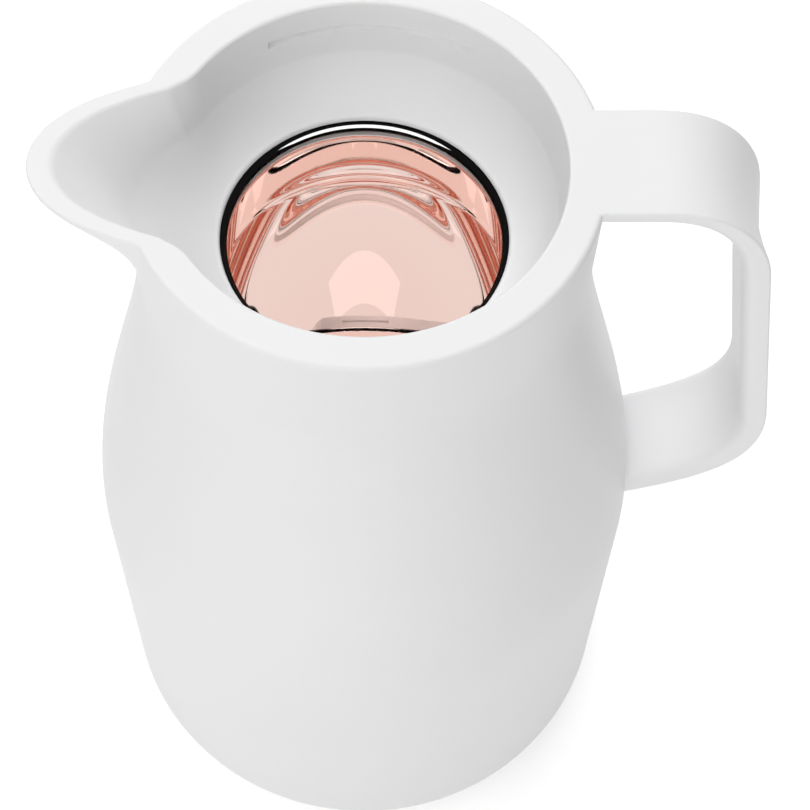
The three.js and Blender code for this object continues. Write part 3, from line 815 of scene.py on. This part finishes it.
@dataclass
class HandleLoop:
    """Flat strap from the rim to the belly, flush with the rim's flat top."""

    rim: float = 217.4
    root_radius: float = 47.7  # where the rim's flat top ends
    width: float = 26.2
    outer_edge: float = 0.6
    inner_edge: float = 3.3
    edge_steps: int = 7
    hollow_depth: float = 1.6
    top: float = 4.8
    grip: float = 6.0
    foot: float = 4.2
    flat_end: float = 59.9
    reach: float = 84.0
    bend: float = 23.0
    grip_length: float = 55.5
    lean: float = 8.0
    drop: float = 116.6
    foot_radius: float = 64.9
    foot_angle: float = 21.8
    foot_root: float = 2.8
    bend_ease: float = 13.5
    foot_ease: float = 21.0
    flat_steps: int = 6
    bend_steps: int = 36
    grip_steps: int = 10
    foot_steps: int = 44
    root_steps: int = 2
    rows: int = 24

    def outline(self) -> tuple[list[Point], list[Point]]:
        """Side view of the strap.

        Returns:
            Its outer and its inner line, each from the rim to the belly.
        """
        rise = math.radians(self.foot_angle)
        slope = Vector((math.cos(rise), math.sin(rise)))
        flat_end = Vector((self.flat_end, self.rim))
        bend_end = Vector((self.reach, self.rim - self.bend))
        grip_end = bend_end + Vector((self.lean, -self.grip_length))
        foot_end = Vector((self.foot_radius, self.rim - self.drop))
        down = (grip_end - bend_end).normalized()
        flat_handle = flat_end + Vector((self.bend_ease, 0.0))
        bend_handle = bend_end - down * self.bend_ease
        grip_handle = grip_end + down * self.foot_ease
        foot_handle = foot_end + slope * self.foot_ease
        root = foot_end - slope * self.foot_root
        flat = line((self.root_radius, self.rim), tuple(flat_end), self.flat_steps)
        bend = bezier(flat_end, flat_handle, bend_handle, bend_end, self.bend_steps)
        grip = line(tuple(bend_end), tuple(grip_end), self.grip_steps)
        foot = bezier(grip_end, grip_handle, foot_handle, foot_end, self.foot_steps)
        runs = [
            (flat, self.top, self.top),
            (bend, self.top, self.grip),
            (grip, self.grip, self.grip),
            (foot, self.grip, self.foot),
            (line(tuple(foot_end), tuple(root), self.root_steps), self.foot, self.foot),
        ]
        outer: list[Point] = []
        depth: list[float] = []
        for run, start, end in runs:
            for step, place in enumerate(run):
                if not outer or math.dist(outer[-1], place) > SAME_PLACE:
                    outer.append(place)
                    depth.append(start + (end - start) * step / (len(run) - 1))
        inner: list[Point] = []
        for number, place in enumerate(outer):
            before = Vector(outer[max(number - 1, 0)])
            along = (Vector(outer[min(number + 1, len(outer) - 1)]) - before).normalized()
            inner.append((place[0] + along.y * depth[number], place[1] - along.x * depth[number]))
        return outer, inner

    def hollow(self, mesh: BMesh) -> None:
        """Hollows the outer face between its edges, fully along the grip and not at all on the flat top.

        Args:
            mesh: The strap, which is changed.
        """
        outer, inner = self.outline()
        line_points = KDTree(len(outer))
        for number, (x, z) in enumerate(outer):
            line_points.insert((x, 0.0, z), number)
        line_points.balance()
        reach = self.width / 2.0 - self.outer_edge
        for vert in mesh.verts:
            share = 1.0 - (vert.co.y / MM / reach) ** 2
            _, number, gap = line_points.find((vert.co.x / MM, 0.0, vert.co.z / MM))
            if share > 0.0 and gap < SAME_PLACE:
                inward = (Vector(inner[number]) - Vector(outer[number])).normalized()
                sink = inward * self.hollow_depth * share * inward.x**2 * MM
                vert.co += Vector((sink.x, 0.0, sink.y))

    def build(self, plastic: bpy.types.Material) -> bpy.types.Object:
        """Extrudes the side view across the strap's width, rounds and hollows it and fits it to the rim.

        Args:
            plastic: Material of the moulding.

        Returns:
            The piece.
        """
        half = self.width * MM / 2.0
        mesh = bmesh.new()
        mark = mesh.verts.layers.int.new("line")
        lines = []
        for number, run in enumerate(self.outline()):
            verts = [mesh.verts.new((x * MM, -half, z * MM)) for x, z in run]
            for vert in verts:
                vert[mark] = number
            lines.append(verts)
        outer, inner = lines
        side = [
            mesh.faces.new((outer[step], outer[step + 1], inner[step + 1], inner[step]))
            for step in range(len(outer) - 1)
        ]
        across = bmesh.ops.extrude_face_region(mesh, geom=side)["geom"]
        moved = [part for part in across if isinstance(part, BMVert)]
        bmesh.ops.translate(mesh, verts=moved, vec=(0.0, 2.0 * half, 0.0))
        bmesh.ops.recalc_face_normals(mesh, faces=mesh.faces)
        for number, rounding in enumerate((self.outer_edge, self.inner_edge)):
            corners = [
                edge
                for edge in mesh.edges
                if all(vert[mark] == number for vert in edge.verts)
                and abs(edge.verts[0].co.y - edge.verts[1].co.y) < half
                and len(edge.link_faces) == 2
                and edge.calc_face_angle() > SHARP_ANGLE
            ]
            bmesh.ops.bevel(
                mesh,
                geom=corners,
                offset=rounding * MM,
                offset_type="OFFSET",
                affect="EDGES",
                segments=self.edge_steps,
                profile=0.5,
                material=-1,
            )
        mesh.verts.layers.int.remove(mark)
        cross = [edge for edge in mesh.edges if abs(edge.verts[0].co.y - edge.verts[1].co.y) > half]
        bmesh.ops.subdivide_edges(mesh, edges=cross, cuts=self.rows - 1)
        self.hollow(mesh)
        for vert in mesh.verts:
            at_root = vert.co.x < (self.root_radius + SAME_PLACE) * MM
            if at_root and vert.co.z > (self.rim - 2.0 * self.top) * MM:
                vert.co.x = math.sqrt((self.root_radius * MM) ** 2 - vert.co.y**2)
        return as_piece(mesh, "handle_loop", Body.JUG, ("handle_strap",), [plastic])


@dataclass
class Flask:
    """Double-walled glass flask with its lip, tip and neck seal."""

    lip_radius: float = 32.1
    lip_bead: float = 1.4
    lip_clear: float = 0.55  # how far down from its top the lip has no silver behind it
    lip_top: float = 187.7
    glass: float = 1.6
    neck_end: float = 178.1
    shoulder_end: float = 156.1
    upper_ease: float = 12.5
    lower_ease: float = 7.9
    radius: float = 45.0
    taper: float = 1.4
    barrel: float = 1.3
    vacuum: float = 3.4
    dome_start: float = 55.7
    inner_dome: float = 8.5
    dome_depth: float = 26.0
    neck_gap: float = 0.3
    tip_radius: float = 3.2
    tip_length: float = 9.0
    seal_top: float = 190.6
    seal_shelf: float = 30.5
    seal_outer: float = 35.1
    seal_height: float = 2.6
    seal_rolls: tuple[Point, ...] = ((1.2, 120.0), (2.1, 142.0), (1.0, 180.0), (0.9, 270.0))  # radius, end
    columns: int = 192
    lip_start: float = -60.0  # angle at which the bead leaves the outside of the neck
    lip_steps: int = 28
    neck_steps: int = 6
    collar_steps: int = 2
    shoulder_steps: int = 48
    side_steps: int = 40
    dome_steps: int = 40
    tip_steps: int = 8
    roll_steps: int = 12
    upright: float = 0.5  # upward part of a normal from which a face of the inner wall is mirrored

    def face(self, neck_radius: float, inset: float, dome_depth: float) -> list[Point]:
        """One face of a wall, from its neck to the middle of its base.

        Args:
            neck_radius: Radius at the neck.
            inset: Distance inside the flask's outside.
            dome_depth: Depth of the rounded bottom.

        Returns:
            The points in order.
        """
        radius = self.radius - inset
        shoulder = bezier(
            (neck_radius, self.neck_end),
            (neck_radius, self.neck_end - self.upper_ease),
            (radius, self.shoulder_end + self.lower_ease),
            (radius, self.shoulder_end),
            self.shoulder_steps,
        )
        foot = radius - self.taper
        # The middle of a cubic curve lies three quarters of the way out to its handles
        bulge = (radius + foot) / 2.0 + 4.0 / 3.0 * self.barrel
        third = (self.shoulder_end - self.dome_start) / 3.0
        barrel = bezier(
            (radius, self.shoulder_end),
            (bulge + self.taper / 6.0, self.shoulder_end - third),
            (bulge - self.taper / 6.0, self.dome_start + third),
            (foot, self.dome_start),
            self.side_steps,
        )
        dome = arc((0.0, self.dome_start), (foot, dome_depth), 0.0, -90.0, self.dome_steps)
        dome[-1] = (0.0, dome[-1][1])
        return joined(shoulder, barrel, dome)

    def inner_wall(self) -> BMesh:
        """Inner wall with its rounded lip.

        Returns:
            The mesh, with its faces numbered 0 inside, 1 on the lip and 2 outside.
        """
        inset = self.glass + self.vacuum
        inner = self.lip_radius - 2.0 * self.lip_bead
        middle = (self.lip_radius - self.lip_bead, self.lip_top - self.lip_bead)
        bead = (self.lip_bead, self.lip_bead)
        outer = inner + self.glass
        inside = self.face(inner, inset + self.glass, self.inner_dome)
        outside = self.face(outer, inset, self.inner_dome + self.glass)
        collar_top = self.lip_top - 2.0 * self.lip_bead
        profile = joined(
            outside[::-1],
            line((outer, self.neck_end), (outer, collar_top), self.collar_steps),
            arc(middle, bead, self.lip_start, 180.0, self.lip_steps),
            line((inner, middle[1]), (inner, self.neck_end), self.neck_steps),
            inside,
        )
        mesh = turned(profile, self.columns)
        for face in mesh.faces:
            place = face.calc_center_median()
            inward = face.normal.x * place.x + face.normal.y * place.y < 0.0
            if place.z > (self.lip_top - self.lip_clear) * MM:
                face.material_index = 1
            else:
                face.material_index = 0 if inward or face.normal.z > self.upright else 2
        return mesh

    def outer_wall(self) -> BMesh:
        """Outer wall with the pumped-out tip under it.

        Returns:
            The mesh.
        """
        inner = self.lip_radius - 2.0 * self.lip_bead + self.glass + self.neck_gap
        top = self.lip_top - 2.0 * self.lip_bead - self.neck_gap
        tip_end = self.dome_start - self.dome_depth - self.tip_length
        tip_size = (self.tip_radius, self.tip_radius)
        outside = self.face(inner + self.glass, 0.0, self.dome_depth)
        body = [place for place in outside if place[0] > self.tip_radius]
        tip = joined(
            [(0.0, tip_end)],
            arc((0.0, tip_end + self.tip_radius), tip_size, -90.0, 0.0, self.tip_steps),
        )
        profile = joined(
            tip,
            body[::-1],
            [(inner + self.glass, top), (inner, top)],
            self.face(inner, self.glass, self.dome_depth - self.glass),
        )
        return turned(profile, self.columns // 2)

    def seal(self) -> BMesh:
        """Ring between the collar and the flask's lip.

        Returns:
            The mesh.
        """
        face = [(self.seal_shelf, self.seal_top)]
        turn = 90.0
        for radius, end in self.seal_rolls:
            angle = math.radians(turn)
            middle = (face[-1][0] - radius * math.cos(angle), face[-1][1] - radius * math.sin(angle))
            face = joined(face, arc(middle, (radius, radius), turn, end, self.roll_steps))
            turn = end
        bottom = self.seal_top - self.seal_height
        profile = joined([(self.seal_outer, bottom), (self.seal_outer, self.seal_top)], face)
        return turned(profile, self.columns // 2, closed=True)

    def build(
        self,
        rose: bpy.types.Material,
        lip: bpy.types.Material,
        silver: bpy.types.Material,
        silicone: bpy.types.Material,
    ) -> bpy.types.Object:
        """Makes both walls and the ring.

        Args:
            rose: Mirror of the inside.
            lip: Clear glass of the lip.
            silver: Silvering between the walls.
            silicone: Material of the ring.

        Returns:
            The ring.
        """
        inner = ("flask_inner_wall",)
        as_piece(self.inner_wall(), "flask_mirror", Body.JUG, inner, [rose, lip, silver])
        outer = ("flask_outer_wall",)
        as_piece(self.outer_wall(), "flask_mantle", Body.JUG, outer, [silver])
        seal = ("mouth_seal",)
        return as_piece(self.seal(), "neck_ring", Body.JUG, seal, [silicone])


@dataclass
class Base:
    """Screwed-in bottom with its seal, pad and the cushion that carries the flask."""

    foot: float = 0.8
    radius: float = 46.3
    wall: float = 3.6
    plate_top: float = 3.8
    cover_rim: float = 12.3
    ring_middle: float = 7.0
    ring_section: float = 1.9
    fit: float = 0.3
    pad_radius: float = 38.0
    pad_thickness: float = 1.2
    pad_groove: float = 0.35
    pad_rings: tuple[float, ...] = (12.0, 20.0, 28.0)
    ring_width: float = 2.4
    ring_slope: float = 0.4
    notch_depth: float = 4.0
    notch_height: float = 1.8
    notch_half_angle: float = 7.5
    notch_angles: tuple[float, ...] = (90.0, 210.0, 330.0)
    cushion_radius: float = 31.0
    cushion_hole: float = 9.0
    dome_radius: float = 43.6
    dome_start: float = 55.7
    dome_depth: float = 26.0
    columns: int = 144
    edge_steps: int = 6
    curve_steps: int = 16

    def notch_faces(self, mesh: BMesh, inside: float, below: float) -> list[BMFace]:
        """Faces of the cover that lie in the sectors of the finger notches.

        Args:
            mesh: The cover.
            inside: Least distance of a face's middle from the axis, in millimetres.
            below: Height that the face's middle stays under, in millimetres.

        Returns:
            The faces.
        """
        found = []
        for face in mesh.faces:
            place = face.calc_center_median()
            angle = math.degrees(math.atan2(place.y, place.x)) % 360.0
            near = any(abs(angle - middle) < self.notch_half_angle for middle in self.notch_angles)
            if near and math.hypot(place.x, place.y) > inside * MM and place.z < below * MM:
                found.append(face)
        return found

    def cover(self) -> BMesh:
        """Screwed-in cover with finger notches under its edge.

        Returns:
            The mesh.
        """
        groove = self.ring_section / 2.0 + self.fit
        floor = self.radius - self.ring_section - self.fit
        recess = self.pad_thickness + self.fit
        lip = self.pad_radius + self.fit
        inner = self.radius - self.wall
        notch_top = self.foot + self.notch_height
        profile = [
            (0.0, recess),
            (lip, recess),
            (lip, self.foot),
            (self.radius - self.notch_depth, self.foot),
            (self.radius, self.foot),
            (self.radius, notch_top),
            (self.radius, self.ring_middle - groove),
            (floor, self.ring_middle - groove),
            (floor, self.ring_middle + groove),
            (self.radius, self.ring_middle + groove),
            (self.radius, self.cover_rim),
            (inner, self.cover_rim),
            (inner, self.plate_top),
            (0.0, self.plate_top),
        ]
        mesh = turned(profile, self.columns)
        under = self.notch_faces(mesh, self.radius - self.notch_depth, self.foot + SAME_PLACE)
        raised = bmesh.ops.extrude_face_region(mesh, geom=under)["geom"]
        moved = [part for part in raised if isinstance(part, BMVert)]
        bmesh.ops.translate(mesh, verts=moved, vec=(0.0, 0.0, self.notch_height * MM))
        side = self.notch_faces(mesh, self.radius - self.fit, notch_top)
        bmesh.ops.delete(mesh, geom=under + side, context="FACES")
        bmesh.ops.remove_doubles(mesh, verts=mesh.verts, dist=SAME_PLACE * MM)
        bmesh.ops.recalc_face_normals(mesh, faces=mesh.faces)
        return mesh

    def pad(self) -> BMesh:
        """Anti-slip pad with shallow rings under it.

        Returns:
            The mesh.
        """
        edge = self.pad_thickness / 2.0
        rings = []
        for start in self.pad_rings:
            end = start + self.ring_width
            inner, outer = start + self.ring_slope, end - self.ring_slope
            rings += [(start, 0.0), (inner, self.pad_groove), (outer, self.pad_groove), (end, 0.0)]
        profile = joined(
            [(0.0, 0.0)],
            rings,
            arc((self.pad_radius - edge, edge), (edge, edge), -90.0, 0.0, self.edge_steps),
            [(self.pad_radius, self.pad_thickness), (0.0, self.pad_thickness)],
        )
        return turned(profile, self.columns)

    def seal(self) -> BMesh:
        """Ring that seals the cover.

        Returns:
            The mesh.
        """
        half = self.ring_section / 2.0
        ring = arc((self.radius - half, self.ring_middle), (half, half), 0.0, 360.0, self.curve_steps)[:-1]
        return turned(ring, self.columns, closed=True)

    def cushion(self) -> BMesh:
        """Rubber cup under the flask.

        Returns:
            The mesh.
        """
        floor = self.plate_top + self.fit
        start = -math.degrees(math.acos(self.cushion_radius / self.dome_radius))
        end = -math.degrees(math.acos(self.cushion_hole / self.dome_radius))
        middle = (0.0, self.dome_start - 2.0 * self.fit)
        profile = joined(
            [(self.cushion_hole, floor), (self.cushion_radius, floor)],
            arc(middle, (self.dome_radius, self.dome_depth), start, end, self.curve_steps),
        )
        return turned(profile, self.columns // 2, closed=True)

    def build(self, plastic: bpy.types.Material, rubber: bpy.types.Material) -> None:
        """Makes the cover, its pad, its seal and the cushion.

        Args:
            plastic: Material of the cover.
            rubber: Material of the rest.
        """
        cover = ("base_cover",)
        as_piece(self.cover(), "base_screw_cover", Body.BASE, cover, [plastic])
        as_piece(self.pad(), "base_grip_pad", Body.BASE, ("base_pad",), [rubber])
        as_piece(self.seal(), "base_o_ring", Body.BASE, ("base_seal",), [rubber])
        as_piece(self.cushion(), "flask_cup", Body.CUSHION, ("support_cushion",), [rubber])


@dataclass(frozen=True)
class SoftBox:
    """Rectangular lamp, with its size and place in metres."""

    watts: float
    size: tuple[float, float]
    place: Place


@dataclass
class Studio:
    """Paper, lamps, surroundings and camera, in metres."""

    fill: float = 0.3
    key: SoftBox = SoftBox(4.1, (0.9, 0.9), (-0.35, -0.35, 1.15))
    side: SoftBox = SoftBox(1.4, (0.9, 0.9), (-1.3, -0.5, 0.55))
    front: SoftBox = SoftBox(5.7, (1.2, 1.0), (0.0, -1.3, 0.5))
    back: SoftBox = SoftBox(9.3, (1.2, 1.0), (0.0, 0.9, 1.1))
    window: SoftBox = SoftBox(0.1, (0.8, 0.25), (0.0, 0.55, 1.26))
    gleam: SoftBox = SoftBox(800.0, (2.2, 0.75), (0.0, -0.75, 0.95))
    mirrored: float = 0.85  # surroundings as mirrors see them
    mirror_bounces: int = 24
    aim: Place = (0.0, 0.0, 0.12)
    floor_size: float = 0.9
    camera_place: Place = (0.0, -0.25888, 0.56661)
    camera_tilt: float = 30.10  # degrees from straight down
    sensor: float = 36.0  # millimetres, as the lens is
    lens: float = 95.92
    shift: float = 0.0501

    def lay_floor(self) -> None:
        """Lays the paper under the carafe."""
        mesh = bmesh.new()
        bmesh.ops.create_grid(mesh, x_segments=1, y_segments=1, size=self.floor_size)
        data = bpy.data.meshes.new("paper")
        mesh.to_mesh(data)
        mesh.free()
        data.materials.append(PaperSweep().material())
        paper = bpy.data.objects.new("paper", data)
        bpy.context.scene.collection.objects.link(paper)

    def hang_lamp(self, name: str, box: SoftBox) -> bpy.types.Object:
        """Hangs a soft box that faces the carafe.

        Args:
            name: Name of the lamp.
            box: Its power, size and place.

        Returns:
            The lamp's object.
        """
        data = bpy.data.lights.new(name, "AREA")
        data.shape = "RECTANGLE"
        data.size, data.size_y = box.size
        data.energy = box.watts
        lamp = bpy.data.objects.new(name, data)
        lamp.location = box.place
        lamp.rotation_euler = (Vector(self.aim) - Vector(box.place)).to_track_quat("-Z", "Y").to_euler()
        bpy.context.scene.collection.objects.link(lamp)
        return lamp

    def surround(self) -> None:
        """Gives white surroundings to the eye, greyer ones to mirrors, and a soft fill to matt surfaces."""
        world = bpy.data.worlds.new("white_room")
        world.use_nodes = True
        tree = world.node_tree
        tree.nodes.clear()
        path = add_node(tree, "ShaderNodeLightPath")
        level = add_node(
            tree,
            "ShaderNodeMath",
            {"operation": "MULTIPLY_ADD", 1: self.mirrored - self.fill, 2: self.fill},
            {0: path.outputs["Is Glossy Ray"]},
        )
        room = add_node(tree, "ShaderNodeBackground", {"Color": WHITE}, {"Strength": level.outputs[0]})
        backdrop = add_node(tree, "ShaderNodeBackground", {"Color": WHITE, "Strength": 1.0})
        mix = add_node(
            tree,
            "ShaderNodeMixShader",
            {},
            {0: path.outputs["Is Camera Ray"], 1: room.outputs[0], 2: backdrop.outputs[0]},
        )
        add_node(tree, "ShaderNodeOutputWorld", {}, {"Surface": mix.outputs[0]})
        bpy.context.scene.world = world

    def set_camera(self) -> None:
        """Stands the camera where the photograph was taken from."""
        data = bpy.data.cameras.new("camera")
        data.sensor_width = self.sensor
        data.lens = self.lens
        data.shift_x = self.shift
        camera = bpy.data.objects.new("camera", data)
        camera.location = self.camera_place
        camera.rotation_euler = (math.radians(self.camera_tilt), 0.0, 0.0)
        bpy.context.scene.collection.objects.link(camera)
        bpy.context.scene.camera = camera

    def build(self, ring: bpy.types.Object) -> None:
        """Sets up everything round the carafe.

        Args:
            ring: Black ring, the one thing that the gleam lights.
        """
        self.lay_floor()
        self.surround()
        unmirrored = {"key": self.key, "side": self.side, "front": self.front, "back": self.back}
        for name, box in unmirrored.items():
            self.hang_lamp(name, box).visible_glossy = False
        self.hang_lamp("window", self.window)
        shiny = bpy.data.collections.new("shiny")
        shiny.objects.link(ring)
        self.hang_lamp("gleam", self.gleam).light_linking.receiver_collection = shiny
        self.set_camera()
        bpy.context.scene.view_settings.view_transform = "Standard"
        bpy.context.scene.cycles.max_bounces = self.mirror_bounces
        bpy.context.scene.cycles.glossy_bounces = self.mirror_bounces
        LOG.info("studio: paper, lamps and camera are up")


def main() -> None:
    """Builds and dresses every piece, then the studio round them."""
    logging.basicConfig(level=logging.INFO, format="%(name)s %(message)s")
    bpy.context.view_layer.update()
    plastic = MouldedPlastic().material()
    rose = SilveredGlass("glass_rose_silvered", "#FEF3EF", "#FEF2EE").material()
    silver = SilveredGlass("glass_silvered", "#DCDEE0", "#D2D5D8").material()
    lip = FusedGlass().material()
    silicone = PolishedSilicone().material()
    rubber = Rubber("rubber_grey_moulded", "#77797B", "#5E6062").material()
    Shell().build(plastic)
    HandleLoop().build(plastic)
    ring = Flask().build(rose, lip, silver, silicone)
    Base().build(plastic, rubber)
    steel = PlatedSteel().material()
    for name in ("handle_screw_front", "handle_screw_back"):
        dress_node(name, steel)
    felt = PressedFelt().material()
    for name in ("wall_spacer_1", "wall_spacer_2", "wall_spacer_3"):
        dress_node(name, felt)
    Studio().build(ring)


if __name__ == "__main__":
    main()
